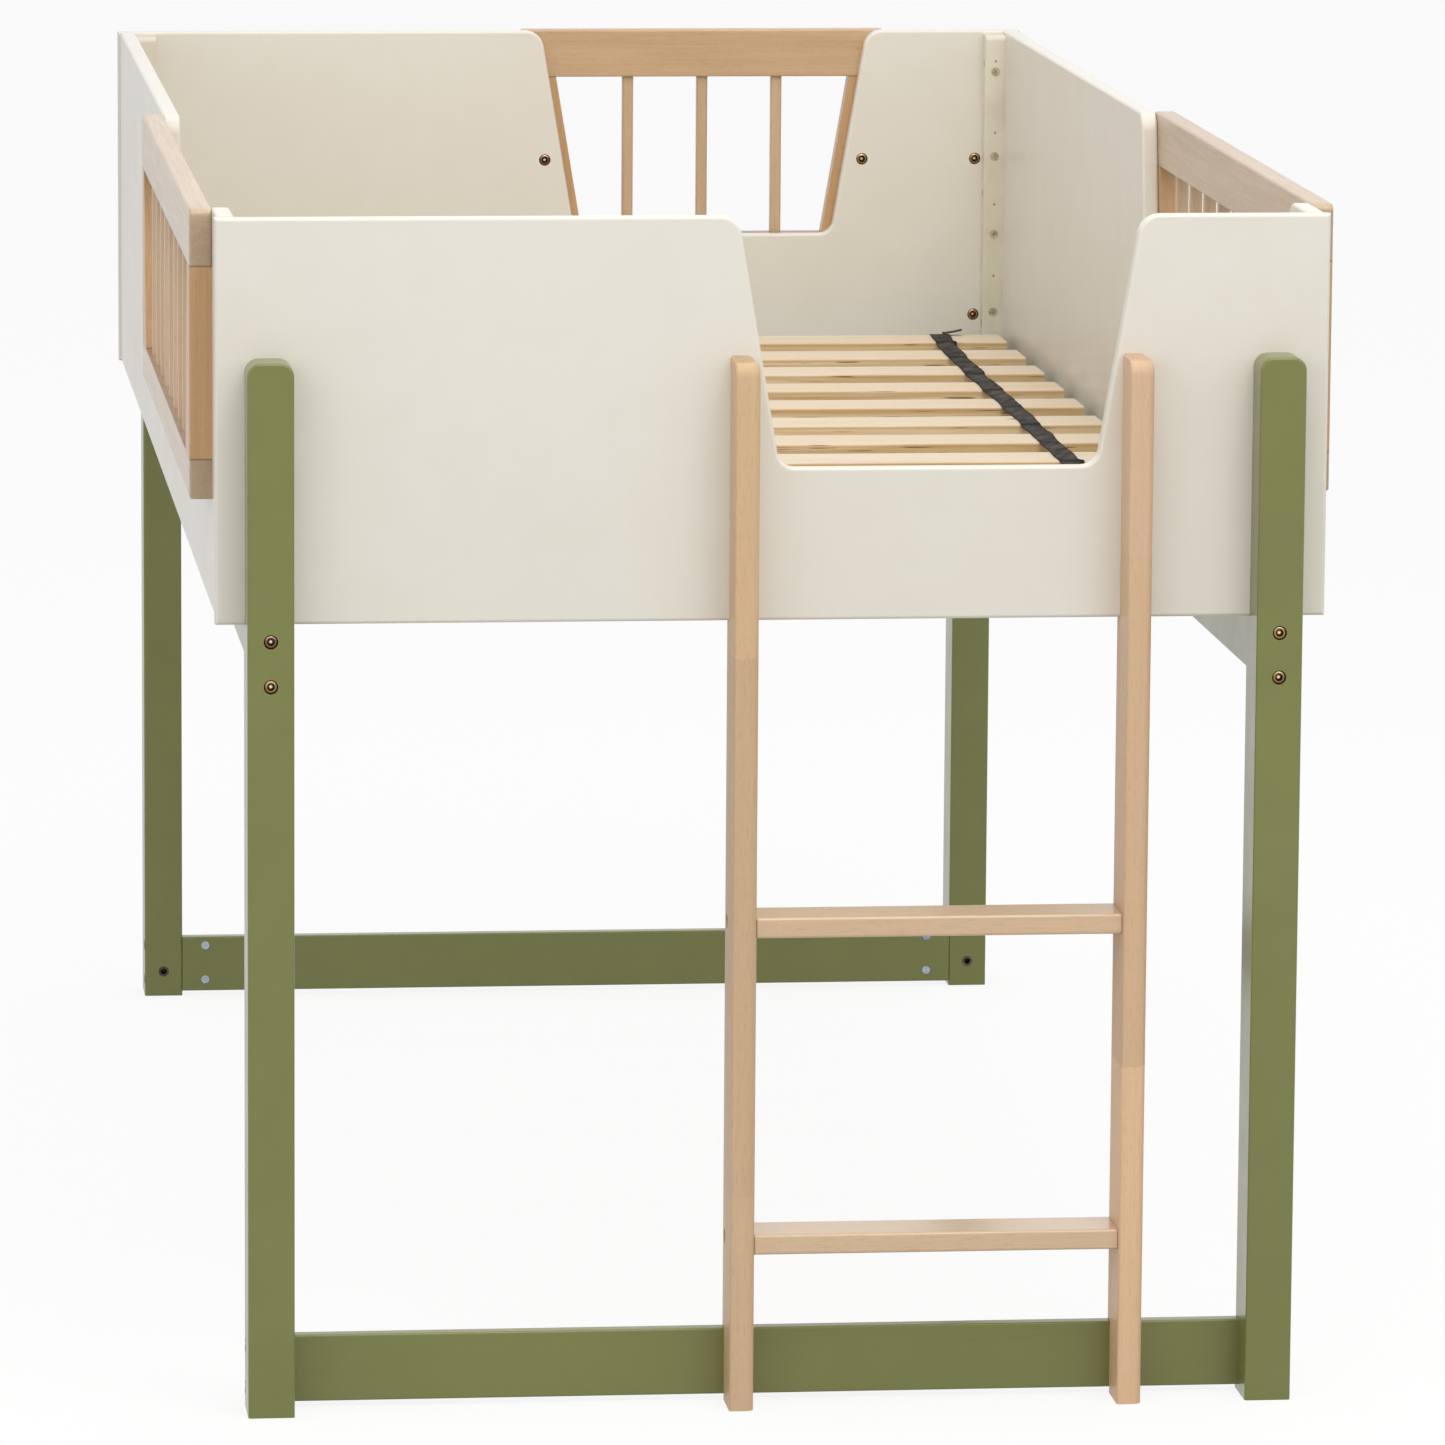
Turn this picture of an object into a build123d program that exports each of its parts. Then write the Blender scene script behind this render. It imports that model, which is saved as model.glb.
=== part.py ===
from build123d import *
import os

# Loft bed for a 900 by 1900 mattress. Lengths are millimetres, +Z is up and Z 0 is the floor.
# X runs across the bed with +X to the right of someone who faces the ladder.
# -Y is the ladder end. Everything is first built about the middle of the mattress well.

# Mattress well
well_width = 943
well_length = 1944
panel_thick = 16
panel_bottom = 700
panel_height = 356
end_panel_lip = 2.5
panel_edge_round = 3

# Cutouts in the panels: one low opening in each end, one in each side
cutout_depth = 221.5
cutout_slope_share = 0.169
cutout_top_round = 20
cutout_bottom_round = 16
end_cutout_top = 355
end_cutout_margin = 167.5
side_cutout_top = 861
side_cutout_start = 95

# Guards that close the two side cutouts and the one at the back
guard_thick = 20
guard_top_rail = 51
guard_bottom_rail = 35
guard_overlap = 24
guard_post_cover = 9
guard_edge_round = 2.5
guard_end_round = 8
baluster_width = 12
baluster_round = 3
baluster_end_gap = 50
end_baluster_count = 3
side_baluster_count = 9

# Legs
leg_width = 41
leg_inset = 26
leg_height = 934
leg_front_depth = 40
leg_top_round = 12
leg_edge_round = 2.5

# Lower rails between the legs of one end
lower_rail_height = 60
lower_rail_lift = 5
lower_rail_thick = 15
rail_edge_round = 2

# Long bearers that carry the slats
bearer_thick = 18
bearer_height = 76
bearer_top = 718

# Slats
slat_count = 13
slat_width = 72
slat_end_gap = 84
slat_thick = 15
slat_overhang = 5.5
slat_edge_round = 2.5

# Flat webbing that ties the slats together
strap_width = 20
strap_thick = 1.4
strap_inset = 74.5

# Cleats in the four corners of the well
cleat_size = 22
cleat_top_drop = 4
cleat_lift = 4
cleat_top_round = 6
cleat_edge_round = 1.5

# Ladder
upright_width = 22
ladder_proud = 6
rung_tread_tops = (157.5, 441.5)
rung_thick = 18
upright_front_round = 14
upright_side_round = 8
ladder_edge_round = 2.5

# Bolts with a cap head and a hexagon socket
head_diameter = 12
head_depth = 5
head_sink = 1
head_round = 2
shank_diameter = 6
socket_flats = 5
socket_depth = 3
bolt_past_nut = 1.5
bearer_bolt_shares = (0.118, 0.638)
panel_bolt_lift = 45.4
top_bolt_drop = 18
panel_bolt_gap = 1.5
leg_bolt_wall = 11
guard_bolt_drop = 140
guard_bolt_wall = 6
upright_bolt_wall = 17
lower_rail_bolt_margin = 9.5
lower_rail_bolt_low_margin = 12.5
rung_bolt_setback = 15
rung_bolt_reach = 41

# Barrel nuts that the bolts screw into
nut_diameter = 9
nut_beyond = 5.5
nut_slot_width = 1.2
nut_slot_depth = 1
bearer_nut_setback = 30
lower_rail_nut_setback = 25

# Countersunk screws in the corner cleats
screw_head = 9
screw_shank = 4
screw_cone = 3
screw_wall = 3.6
screw_sink = 0.4
screw_slot_width = 1.2
screw_slot_length = 4.4
screw_slot_depth = 1.6
end_screw_shares = (0.085, 0.342, 0.6, 0.879)
side_screw_shares = (0.045, 0.476, 0.903)
end_screw_share = 0.52
side_screw_share = 0.5

# Threaded inserts near the foot of each leg
insert_height = 27
insert_diameter = 10.5
insert_bore = 6.5
insert_length = 16

# Fits
fit_gap = 0.3
cut_over = 2

# Places worked out from the sizes above
well_x = well_width / 2
well_y = well_length / 2
panel_top = panel_bottom + panel_height
side_outer_x = well_x + panel_thick
end_panel_x = side_outer_x + end_panel_lip
end_outer_y = well_y + panel_thick
leg_outer_x = end_panel_x - leg_inset
leg_inner_x = leg_outer_x - leg_width
leg_mid_x = leg_outer_x - leg_width / 2
leg_outer_y = end_outer_y + leg_front_depth
cutout_floor = panel_top - cutout_depth
guard_bottom = cutout_floor - guard_bottom_rail
guard_joint = panel_top - guard_top_rail
ladder_front_y = leg_outer_y + ladder_proud
lower_rail_top = lower_rail_lift + lower_rail_height
lower_rail_outer_y = well_y + lower_rail_thick
lower_rail_mid_y = well_y + lower_rail_thick / 2
slat_length = 2 * (leg_mid_x + bearer_thick / 2 + slat_overhang)
slat_top = bearer_top + slat_thick
first_slat_y = -well_y + slat_end_gap + slat_width / 2
slat_pitch = -2 * first_slat_y / (slat_count - 1)
strap_centre = slat_length / 2 - strap_inset
end_cutout_shift = end_panel_x - end_cutout_margin - end_cutout_top / 2
side_cutout_middle = -well_y + side_cutout_start + side_cutout_top / 2
joint_top = min(leg_height, panel_top)
cleat_top = panel_top - cleat_top_drop
cleat_bottom = bearer_top + cleat_lift
bearer_bottom = bearer_top - bearer_height

# Heights and lengths of the fasteners
bearer_bolt_heights = [bearer_bottom + bearer_height * share for share in bearer_bolt_shares]
bearer_bolt_reach = bearer_nut_setback + nut_diameter / 2 + bolt_past_nut
bearer_bolt_length = leg_outer_y - head_sink - well_y + bearer_bolt_reach
top_bolt_height = joint_top - top_bolt_drop
panel_bolt_heights = (panel_bottom + panel_bolt_lift, top_bolt_height)
panel_bolt_length = leg_outer_y - well_y - head_sink - leg_bolt_wall
guard_bolt_height = panel_top - guard_bolt_drop
guard_bolt_length = panel_thick + guard_thick - head_sink - guard_bolt_wall
upright_bolt_length = ladder_front_y - well_y - head_sink - upright_bolt_wall
lower_rail_bolt_reach = lower_rail_nut_setback + nut_diameter / 2 + bolt_past_nut
lower_rail_bolt_length = leg_width - head_sink + lower_rail_bolt_reach
rung_bolt_length = upright_width - head_sink + rung_bolt_reach
cleat_length = cleat_top - cleat_bottom
end_screw_heights = [cleat_bottom + cleat_length * share for share in end_screw_shares]
side_screw_heights = [cleat_bottom + cleat_length * share for share in side_screw_shares]
screw_length = cleat_size + panel_thick - screw_sink - screw_wall


def block(low, high):
    """Block from its low corner to its high corner."""
    size = [b - a for a, b in zip(low, high)]
    middle = [(a + b) / 2 for a, b in zip(low, high)]
    return Pos(*middle) * Box(*size)


def seat(point, direction, across=None):
    """Place at a point with local +Z along a direction, and local +X across it if given."""
    return Plane(origin=point, x_dir=across, z_dir=direction).location


def at(edge_or_face, axis, value):
    """True when the centre of an edge or face lies at a coordinate."""
    centre = edge_or_face.center()
    place = {"X": centre.X, "Y": centre.Y, "Z": centre.Z}[axis]
    return abs(place - value) < fit_gap


def drilled(solid, cutters):
    """Solid with every cutter that reaches its box taken away."""
    box = solid.bounding_box()
    for cutter in cutters:
        reach = cutter.bounding_box()
        apart = [
            reach.max.X < box.min.X or reach.min.X > box.max.X,
            reach.max.Y < box.min.Y or reach.min.Y > box.max.Y,
            reach.max.Z < box.min.Z or reach.min.Z > box.max.Z,
        ]
        if not any(apart):
            solid = solid - cutter
    return solid


# Fasteners, built with the head's outer face at Z 0 and the shank along +Z
def cap_bolt(length):
    head = Pos(0, 0, head_depth / 2) * Cylinder(head_diameter / 2, head_depth)
    rim = [edge for edge in head.edges() if at(edge, "Z", 0)]
    head = fillet(rim, head_round)
    shank = Pos(0, 0, (head_depth + length) / 2) * Cylinder(shank_diameter / 2, length - head_depth)
    socket = extrude(RegularPolygon(socket_flats / 2, 6, major_radius=False), socket_depth)
    return head + shank - socket


def cap_bolt_hole(length):
    recess_depth = head_depth + head_sink + cut_over
    recess = Cylinder(head_diameter / 2 + fit_gap, recess_depth)
    recess = Pos(0, 0, head_depth - recess_depth / 2) * recess
    bore_length = length - head_depth + fit_gap
    bore = Pos(0, 0, head_depth + bore_length / 2) * Cylinder(shank_diameter / 2 + fit_gap, bore_length)
    return recess + bore


def barrel_nut(bolt_depth):
    """Barrel from Z 0, its cross bore at the bolt's depth along X and a slot in its face."""
    length = bolt_depth + nut_beyond
    barrel = Pos(0, 0, length / 2) * Cylinder(nut_diameter / 2, length)
    bore = Cylinder(shank_diameter / 2 + fit_gap, nut_diameter + cut_over)
    slot = Box(nut_slot_width, nut_diameter + cut_over, 2 * nut_slot_depth)
    return barrel - Pos(0, 0, bolt_depth) * Rot(0, 90, 0) * bore - slot


def barrel_nut_hole(bolt_depth):
    low = -cut_over
    high = bolt_depth + nut_beyond + fit_gap
    return Pos(0, 0, (low + high) / 2) * Cylinder(nut_diameter / 2 + fit_gap, high - low)


def wood_screw():
    cone = Cone(screw_head / 2, screw_shank / 2, screw_cone)
    shank_length = screw_length - screw_cone
    shank = Pos(0, 0, screw_cone + shank_length / 2) * Cylinder(screw_shank / 2, shank_length)
    slot = Box(screw_slot_width, screw_slot_length, 2 * screw_slot_depth)
    return Pos(0, 0, screw_cone / 2) * cone + shank - slot - Rot(0, 0, 90) * slot


def wood_screw_hole():
    mouth_depth = screw_sink + cut_over
    mouth = Pos(0, 0, -mouth_depth / 2) * Cylinder(screw_head / 2 + fit_gap, mouth_depth)
    cone = Cone(screw_head / 2 + fit_gap, screw_shank / 2 + fit_gap, screw_cone + fit_gap)
    bore_length = screw_length + fit_gap
    bore = Pos(0, 0, bore_length / 2) * Cylinder(screw_shank / 2 + fit_gap, bore_length)
    return mouth + Pos(0, 0, (screw_cone + fit_gap) / 2) * cone + bore


def leg_insert():
    body = Pos(0, 0, insert_length / 2) * Cylinder(insert_diameter / 2, insert_length)
    return body - Pos(0, 0, insert_length / 2) * Cylinder(insert_bore / 2, insert_length + cut_over)


def leg_insert_hole():
    depth = insert_length + fit_gap
    return Pos(0, 0, depth / 2) * Cylinder(insert_diameter / 2 + fit_gap, depth)


# Places of the fasteners of the corner at +X and +Y, as a point and a direction
def bearer_bolt_places():
    head_y = leg_outer_y - head_sink
    return [seat((leg_mid_x, head_y, z), (0, -1, 0)) for z in bearer_bolt_heights]


def panel_bolt_places():
    bolt_x = well_x - cleat_size - panel_bolt_gap - head_diameter / 2
    return [seat((bolt_x, well_y + head_sink, z), (0, 1, 0)) for z in panel_bolt_heights]


def lower_rail_heights():
    return (lower_rail_lift + lower_rail_bolt_low_margin, lower_rail_top - lower_rail_bolt_margin)


def lower_rail_bolt_places():
    head_x = leg_outer_x - head_sink
    return [seat((head_x, lower_rail_mid_y, z), (-1, 0, 0)) for z in lower_rail_heights()]


def lower_rail_nut_places():
    nut_x = leg_inner_x - lower_rail_nut_setback
    return [seat((nut_x, well_y, z), (0, 1, 0), (1, 0, 0)) for z in lower_rail_heights()]


def bearer_nut_places():
    face_x = leg_mid_x - bearer_thick / 2
    nut_y = well_y - bearer_nut_setback
    return [seat((face_x, nut_y, z), (1, 0, 0), (0, 1, 0)) for z in bearer_bolt_heights]


def insert_places():
    return [seat((leg_mid_x, well_y, insert_height), (0, 1, 0))]


def screw_places():
    end_x = well_x - cleat_size * (1 - end_screw_share)
    side_y = well_y - cleat_size * (1 - side_screw_share)
    end_face = well_y - cleat_size + screw_sink
    side_face = well_x - cleat_size + screw_sink
    into_end = [seat((end_x, end_face, z), (0, 1, 0)) for z in end_screw_heights]
    into_side = [seat((side_face, side_y, z), (1, 0, 0)) for z in side_screw_heights]
    return into_end + into_side


def four_corners(shapes):
    """The shapes of the +X +Y corner and their mirror images in the other corners."""
    right = shapes + [mirror(shape, about=Plane.XZ) for shape in shapes]
    return right + [mirror(shape, about=Plane.YZ) for shape in right]


# Guards and ladder share the bolt offset from the middle of a cutout
def cutout_inset(height):
    """How far a cutout's side has moved in at a height."""
    return (panel_top - height) * cutout_slope_share


def guard_half_length(cutout_top):
    return cutout_top / 2 + guard_overlap


def guard_bolt_offset(cutout_top):
    inner = cutout_top / 2 - cutout_inset(guard_bolt_height) - guard_post_cover
    return (guard_half_length(cutout_top) + inner) / 2


def ladder_middles():
    offset = guard_bolt_offset(end_cutout_top)
    return (end_cutout_shift - offset, end_cutout_shift + offset)


def end_bolt_places(side, height):
    """Guard or ladder bolts in an end panel, heads on the well's face."""
    head = side * (well_y + head_sink)
    return [seat((x, head, height), (0, side, 0)) for x in ladder_middles()]


def side_guard_bolt_places(side):
    offset = guard_bolt_offset(side_cutout_top)
    head = side * (well_x + head_sink)
    rows = (side_cutout_middle - offset, side_cutout_middle + offset)
    return [seat((head, y, guard_bolt_height), (side, 0, 0)) for y in rows]


def ladder_bolt_places():
    """Bolts from the front panel and from the lower rail into the uprights."""
    rail_middle = lower_rail_lift + lower_rail_height / 2
    return end_bolt_places(-1, top_bolt_height) + end_bolt_places(-1, rail_middle)


def guard_bolt_places():
    sides = side_guard_bolt_places(-1) + side_guard_bolt_places(1)
    return end_bolt_places(1, guard_bolt_height) + sides


def rung_bolt_places():
    left, right = ladder_middles()
    half = upright_width / 2
    bolt_y = -well_y - rung_bolt_setback
    places = []
    for top in rung_tread_tops:
        z = top - rung_thick / 2
        places.append(seat((left - half + head_sink, bolt_y, z), (1, 0, 0)))
        places.append(seat((right + half - head_sink, bolt_y, z), (-1, 0, 0)))
    return places


def bolts(places, length):
    return [place * cap_bolt(length) for place in places]


def bolt_holes(places, length):
    return [place * cap_bolt_hole(length) for place in places]


def cutout_outline(middle, top_width):
    """Plan of a cutout in the plane of its panel, with its mouth above the panel's top."""
    half_top = top_width / 2 + cut_over * cutout_slope_share
    half_floor = top_width / 2 - cutout_inset(cutout_floor)
    mouth = panel_top + cut_over
    return [
        (middle - half_top, mouth),
        (middle - half_floor, cutout_floor),
        (middle + half_floor, cutout_floor),
        (middle + half_top, mouth),
    ]


def panel_blank(half_length, middle, top_width):
    """Panel in the XZ plane from Y 0 to its thickness, with its cutout and rounded edges."""
    outline = Polyline(cutout_outline(middle, top_width), close=True)
    hollow = Plane.XZ * make_face(outline)
    hollow = Pos(0, panel_thick + cut_over, 0) * extrude(hollow, panel_thick + 2 * cut_over)
    blank = block((-half_length, 0, panel_bottom), (half_length, panel_thick, panel_top)) - hollow
    across = blank.edges().filter_by(Axis.Y)
    floor_corners = [edge for edge in across if at(edge, "Z", cutout_floor)]
    blank = fillet(floor_corners, cutout_bottom_round)
    across = blank.edges().filter_by(Axis.Y)
    tops = [edge for edge in across if at(edge, "Z", panel_top)]
    mouths = [edge for edge in tops if abs(abs(edge.center().X) - half_length) > fit_gap]
    blank = fillet(mouths, cutout_top_round)
    faces = blank.faces().filter_by(Axis.Y)
    rim = [edge for face in faces for edge in face.edges()]
    return fillet(rim, panel_edge_round)


def end_panel(side):
    blank = panel_blank(end_panel_x, end_cutout_shift, end_cutout_top)
    near_face = well_y if side > 0 else -end_outer_y
    panel = Pos(0, near_face, 0) * blank
    return drilled(panel, panel_cutters)


def side_panel(side):
    """Side panel between the end panels, its length along Y."""
    blank = panel_blank(well_y, side_cutout_middle, side_cutout_top)
    turned = Rot(0, 0, 90) * blank
    near_face = side_outer_x if side > 0 else -well_x
    return drilled(Pos(near_face, 0, 0) * turned, panel_cutters)


def leg_blank():
    """Leg of the +X +Y corner, notched for the end panel."""
    below = block((leg_inner_x, well_y, 0), (leg_outer_x, leg_outer_y, panel_bottom))
    above = block((leg_inner_x, end_outer_y, 0), (leg_outer_x, leg_outer_y, leg_height))
    leg = below + above
    across = leg.edges().filter_by(Axis.Y)
    leg = fillet([edge for edge in across if at(edge, "Z", leg_height)], leg_top_round)
    outer = leg.faces().sort_by(Axis.Y)[-1]
    rim = [edge for edge in outer.edges() if not at(edge, "Z", 0)]
    leg = fillet(rim, leg_edge_round)
    upright = leg.edges().filter_by(Axis.Z)
    back = [edge for edge in upright if at(edge, "Y", well_y)]
    return fillet(back, leg_edge_round)


def lower_rail_blank():
    """Rail between the two legs of the +Y end."""
    low = (-leg_inner_x, well_y, lower_rail_lift)
    rail = block(low, (leg_inner_x, lower_rail_outer_y, lower_rail_top))
    return fillet(rail.edges().filter_by(Axis.X), rail_edge_round)


def bearer_blank():
    """Long bearer on the +X side, in line with the legs."""
    half = bearer_thick / 2
    low = (leg_mid_x - half, -well_y, bearer_bottom)
    bearer = block(low, (leg_mid_x + half, well_y, bearer_top))
    return fillet(bearer.edges().filter_by(Axis.Y), rail_edge_round)


def cleat_blank():
    """Cleat in the +X +Y corner of the well."""
    low = (well_x - cleat_size, well_y - cleat_size, cleat_bottom)
    cleat = block(low, (well_x, well_y, cleat_top))
    top = [edge for edge in cleat.edges().filter_by(Axis.X) if at(edge, "Z", cleat_top)]
    cleat = fillet([edge for edge in top if at(edge, "Y", well_y - cleat_size)], cleat_top_round)
    long_edges = cleat.edges().filter_by(Axis.Z)
    bare = [edge for edge in long_edges if at(edge, "X", low[0]) and at(edge, "Y", low[1])]
    return fillet(bare, cleat_edge_round)


def upright(middle):
    """Ladder upright, notched for the end panel above and the lower rail below. Both are of one
    hand, with their top rounded to the front and the right."""
    half = upright_width / 2
    x0, x1 = middle - half, middle + half
    post = block((x0, -ladder_front_y, 0), (x1, -well_y, panel_bottom))
    post = post + block((x0, -ladder_front_y, 0), (x1, -end_outer_y, leg_height))
    notch_low = (x0 - cut_over, -lower_rail_outer_y, -cut_over)
    post = post - block(notch_low, (x1 + cut_over, -well_y + cut_over, lower_rail_top + fit_gap))
    front_top = [
        edge
        for edge in post.edges().filter_by(Axis.X)
        if at(edge, "Z", leg_height) and at(edge, "Y", -ladder_front_y)
    ]
    post = fillet(front_top, upright_front_round)
    right_top = [
        edge
        for edge in post.edges().filter_by(Axis.Y)
        if at(edge, "Z", leg_height) and at(edge, "X", x1)
    ]
    post = fillet(right_top, upright_side_round)
    long_edges = post.edges().filter_by(Axis.Z)
    front = [edge for edge in long_edges if at(edge, "Y", -ladder_front_y)]
    back = [edge for edge in long_edges if at(edge, "Y", -well_y)]
    post = fillet(front + back, ladder_edge_round)
    return drilled(post, ladder_cutters)


def rung(top):
    left, right = ladder_middles()
    half = upright_width / 2
    low = (left + half, -leg_outer_y, top - rung_thick)
    tread = block(low, (right - half, -well_y, top))
    tread = fillet(tread.edges().filter_by(Axis.X), ladder_edge_round)
    return drilled(tread, ladder_cutters)


# A guard is drawn in the XZ plane about the middle of its cutout, from Y 0 to its thickness
def guard_top(cutout_top):
    half = guard_half_length(cutout_top)
    rail = block((-half, 0, guard_joint), (half, guard_thick, panel_top))
    ends = [edge for edge in rail.edges().filter_by(Axis.Y) if at(edge, "Z", panel_top)]
    rail = fillet(ends, guard_end_round)
    outer = rail.faces().sort_by(Axis.Y)[-1]
    rim = [edge for edge in outer.edges() if not at(edge, "Z", guard_joint)]
    rail = fillet(rim, guard_edge_round)
    inner_top = [edge for edge in rail.edges().filter_by(Axis.X) if at(edge, "Z", panel_top)]
    inner_top = [edge for edge in inner_top if at(edge, "Y", 0)]
    return fillet(inner_top, guard_edge_round)


def guard_bottom_bar(cutout_top):
    half = guard_half_length(cutout_top)
    rail = block((-half, 0, guard_bottom), (half, guard_thick, cutout_floor))
    outer = rail.faces().sort_by(Axis.Y)[-1]
    rim = [edge for edge in outer.edges() if not at(edge, "Z", cutout_floor)]
    return fillet(rim, guard_edge_round)


def guard_post(cutout_top, end):
    """Post at one end of a guard, its inner side parallel to the cutout's side."""
    outer = guard_half_length(cutout_top)
    inner_top = cutout_top / 2 - cutout_inset(guard_joint) - guard_post_cover
    inner_floor = cutout_top / 2 - cutout_inset(cutout_floor) - guard_post_cover
    points = [
        (end * outer, guard_joint),
        (end * inner_top, guard_joint),
        (end * inner_floor, cutout_floor),
        (end * outer, cutout_floor),
    ]
    face = Plane.XZ * make_face(Polyline(points, close=True))
    post = Pos(0, guard_thick, 0) * extrude(face, guard_thick)
    outer_edges = [edge for edge in post.edges().filter_by(Axis.Z) if at(edge, "Y", guard_thick)]
    return fillet(outer_edges, guard_edge_round)


def baluster_middles(cutout_top, count):
    floor_corner = cutout_top / 2 - cutout_inset(cutout_floor) - guard_post_cover
    reach = floor_corner - baluster_end_gap
    pitch = 2 * reach / (count - 1)
    return [-reach + pitch * number for number in range(count)]


def baluster(middle):
    half = baluster_width / 2
    y0 = (guard_thick - baluster_width) / 2
    bar = block((middle - half, y0, cutout_floor), (middle + half, y0 + baluster_width, guard_joint))
    return fillet(bar.edges().filter_by(Axis.Z), baluster_round)


def guard_pieces(cutout_top, count):
    pieces = {
        "top_rail": guard_top(cutout_top),
        "bottom_rail": guard_bottom_bar(cutout_top),
        "post_a": guard_post(cutout_top, -1),
        "post_b": guard_post(cutout_top, 1),
    }
    bars = [baluster(middle) for middle in baluster_middles(cutout_top, count)]
    pieces["balusters"] = Compound(bars)
    return pieces


def slat(middle):
    half = slat_length / 2
    low = (-half, middle - slat_width / 2, bearer_top)
    board = block(low, (half, middle + slat_width / 2, slat_top))
    return fillet(board.edges().filter_by(Axis.X), slat_edge_round)


def strap(side):
    """One strap over all the slats, turned down over the far edges of the first and the last."""
    half_width = strap_width / 2
    edge_y = -first_slat_y + slat_width / 2 + fit_gap
    low = (side * strap_centre - half_width, -edge_y, slat_top)
    top = block(low, (side * strap_centre + half_width, edge_y, slat_top + strap_thick))
    drop_low = (low[0], edge_y, bearer_top)
    drop_high = (low[0] + strap_width, edge_y + strap_thick, slat_top + strap_thick)
    drop = block(drop_low, drop_high)
    return top + drop + mirror(drop, about=Plane.XZ)


# Everything that is cut for a fastener
corner_bolt_cutters = four_corners(
    bolt_holes(bearer_bolt_places(), bearer_bolt_length)
    + bolt_holes(panel_bolt_places(), panel_bolt_length)
    + bolt_holes(lower_rail_bolt_places(), lower_rail_bolt_length)
    + [place * barrel_nut_hole(lower_rail_thick / 2) for place in lower_rail_nut_places()]
    + [place * barrel_nut_hole(bearer_thick / 2) for place in bearer_nut_places()]
    + [place * leg_insert_hole() for place in insert_places()]
)
screw_cutters = four_corners([place * wood_screw_hole() for place in screw_places()])
guard_cutters = bolt_holes(guard_bolt_places(), guard_bolt_length)
ladder_cutters = bolt_holes(ladder_bolt_places(), upright_bolt_length)
ladder_cutters = ladder_cutters + bolt_holes(rung_bolt_places(), rung_bolt_length)
panel_cutters = corner_bolt_cutters + screw_cutters + guard_cutters + ladder_cutters


def leg(side_x, side_y):
    blank = leg_blank()
    if side_y < 0:
        blank = mirror(blank, about=Plane.XZ)
    if side_x < 0:
        blank = mirror(blank, about=Plane.YZ)
    return drilled(blank, corner_bolt_cutters)


def cleat(side_x, side_y):
    blank = cleat_blank()
    if side_y < 0:
        blank = mirror(blank, about=Plane.XZ)
    if side_x < 0:
        blank = mirror(blank, about=Plane.YZ)
    return drilled(blank, screw_cutters)


def lower_rail(side_y):
    blank = lower_rail_blank() if side_y > 0 else mirror(lower_rail_blank(), about=Plane.XZ)
    return drilled(blank, corner_bolt_cutters + ladder_cutters)


def bearer(side_x):
    blank = bearer_blank() if side_x > 0 else mirror(bearer_blank(), about=Plane.YZ)
    return drilled(blank, corner_bolt_cutters)


def place_guard(name, place, cutout_top, count):
    """Guard pieces of one side, moved to their panel and drilled for their bolts."""
    placed = {}
    for piece, shape in guard_pieces(cutout_top, count).items():
        moved = place * shape
        if piece.startswith("post"):
            moved = drilled(moved, guard_cutters)
        placed[name + "_guard_" + piece] = moved
    return placed


def group(shapes):
    return Compound([solid for shape in shapes for solid in shape.solids()])


nodes = {}
nodes["front_end_panel"] = end_panel(-1)
nodes["back_end_panel"] = end_panel(1)
nodes["left_side_panel"] = side_panel(-1)
nodes["right_side_panel"] = side_panel(1)
for x_name, x_side in (("left", -1), ("right", 1)):
    for y_name, y_side in (("front", -1), ("back", 1)):
        nodes[y_name + "_" + x_name + "_leg"] = leg(x_side, y_side)
        nodes[y_name + "_" + x_name + "_cleat"] = cleat(x_side, y_side)
    nodes[x_name + "_bearer"] = bearer(x_side)
    nodes[x_name + "_strap"] = strap(x_side)
nodes["front_lower_rail"] = lower_rail(-1)
nodes["back_lower_rail"] = lower_rail(1)
for upright_name, middle_x in zip(("left", "right"), ladder_middles()):
    nodes["ladder_" + upright_name + "_upright"] = upright(middle_x)
for rung_name, tread_top in zip(("lower", "upper"), rung_tread_tops):
    nodes["ladder_" + rung_name + "_rung"] = rung(tread_top)
for number in range(slat_count):
    nodes["slat_" + str(number + 1).zfill(2)] = slat(first_slat_y + slat_pitch * number)

right_guard = Pos(side_outer_x, side_cutout_middle, 0) * Rot(0, 0, -90)
left_guard = Pos(-side_outer_x, side_cutout_middle, 0) * Rot(0, 0, 90)
back_guard = Pos(end_cutout_shift, end_outer_y, 0)
nodes.update(place_guard("right", right_guard, side_cutout_top, side_baluster_count))
nodes.update(place_guard("left", left_guard, side_cutout_top, side_baluster_count))
nodes.update(place_guard("back", back_guard, end_cutout_top, end_baluster_count))

nodes["leg_bearer_bolts"] = group(four_corners(bolts(bearer_bolt_places(), bearer_bolt_length)))
nodes["leg_panel_bolts"] = group(four_corners(bolts(panel_bolt_places(), panel_bolt_length)))
nodes["lower_rail_bolts"] = group(four_corners(bolts(lower_rail_bolt_places(), lower_rail_bolt_length)))
rail_nuts = [place * barrel_nut(lower_rail_thick / 2) for place in lower_rail_nut_places()]
bearer_nuts = [place * barrel_nut(bearer_thick / 2) for place in bearer_nut_places()]
nodes["lower_rail_nuts"] = group(four_corners(rail_nuts))
nodes["bearer_nuts"] = group(four_corners(bearer_nuts))
nodes["leg_inserts"] = group(four_corners([place * leg_insert() for place in insert_places()]))
nodes["cleat_screws"] = group(four_corners([place * wood_screw() for place in screw_places()]))
nodes["guard_bolts"] = group(bolts(guard_bolt_places(), guard_bolt_length))
nodes["ladder_bolts"] = group(bolts(ladder_bolt_places(), upright_bolt_length))
nodes["rung_bolts"] = group(bolts(rung_bolt_places(), rung_bolt_length))

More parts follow.
